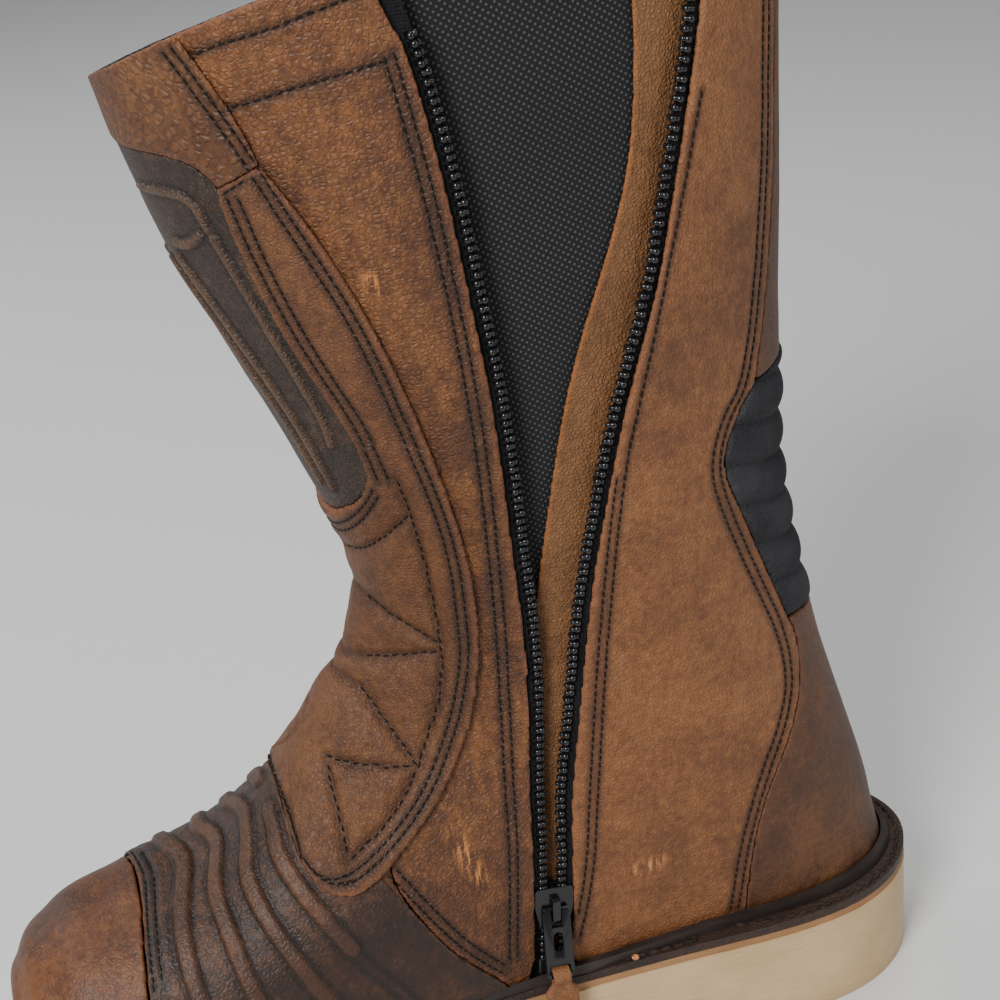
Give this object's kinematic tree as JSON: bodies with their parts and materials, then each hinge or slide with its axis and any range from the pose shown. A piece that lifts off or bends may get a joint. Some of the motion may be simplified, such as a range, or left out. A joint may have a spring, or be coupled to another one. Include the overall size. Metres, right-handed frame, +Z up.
{
  "type": "riding boot",
  "caption": "Tall leather riding boot for the right foot with a quilted shin guard, rear flex panel, shift pad and a moulded inner-side zip that stands open.",
  "frame": {"origin": "on the ground face of the sole, under the middle of the waist of the sole", "axes": "toe towards -X, heel towards +X, inner side with the zip towards -Y, +Z up the shaft"},
  "size_m": [0.3054, 0.1142, 0.3682],
  "materials": {
    "tan_leather": "oiled pull-up leather",
    "toe_leather": "burnished, scuffed",
    "dark_leather": "embossed, waxed",
    "suede": "rough split leather",
    "raw_leather": "undyed",
    "black_mesh": "knitted spacer mesh",
    "flex_fabric": "matt stretch fabric",
    "zip_tape": "woven tape",
    "black_moulding": "glossy acetal",
    "cream_rubber": "smooth, matt",
    "dark_rubber": "matt",
    "welt_leather": "dyed edge",
    "cork": "granular",
    "foam": "open cell",
    "steel": "rolled",
    "fibre_board": "pressed"
  },
  "bodies": {
    "boot": {"outsole": "cream_rubber", "midsole": "raw_leather", "welt": "welt_leather", "welt_bead": "dark_rubber", "shank": "steel", "cork_filler": "cork", "insole_board": "fibre_board", "footbed": "foam", "toe_cap": "toe_leather", "vamp": "tan_leather", "shift_pad": "dark_leather", "instep_guard": "tan_leather", "front_cuff": "tan_leather", "shin_panel": "dark_leather", "front_quarter_inner": "tan_leather", "rear_quarter_inner": "tan_leather", "quarter_outer": "tan_leather", "heel_cover": "tan_leather", "flex_panel": "flex_fabric", "backstay": "tan_leather", "toe_puff": "fibre_board", "heel_stiffener": "fibre_board", "shin_plate": "fibre_board", "shin_padding": "foam", "ankle_disc_inner": "foam", "ankle_disc_outer": "foam", "collar_padding": "foam", "gusset": "black_mesh", "lining": "black_mesh", "zip_facing_front": "raw_leather", "zip_facing_rear": "raw_leather", "wind_flap": "suede", "zip_bottom_stop": "black_moulding", "zip_teeth_front": "black_moulding", "zip_teeth_rear": "black_moulding", "zip_tape_front": "zip_tape", "zip_tape_rear": "zip_tape"},
    "slider": {"zip_slider": "black_moulding"},
    "pull": {"zip_pull": "black_moulding"},
    "strap": {"pull_strap": "raw_leather"}
  },
  "joints": [
    {"name": "slider_travel", "type": "slide", "parent": "boot", "child": "slider", "axis": [0.0845, 0.0589, 0.9947], "range_m": [0, 0.02]},
    {"name": "pull_swing", "type": "hinge", "parent": "slider", "child": "pull", "pos_m": [0.01099, -0.03753, 0.06618], "axis": [-0.9964, 0, 0.0842], "range_deg": [0, 120]},
    {"name": "strap_swing", "type": "hinge", "parent": "pull", "child": "strap", "pos_m": [0.00923, -0.04401, 0.04555], "axis": [-1, 0, 0], "range_deg": [-5, 45]}
  ]
}
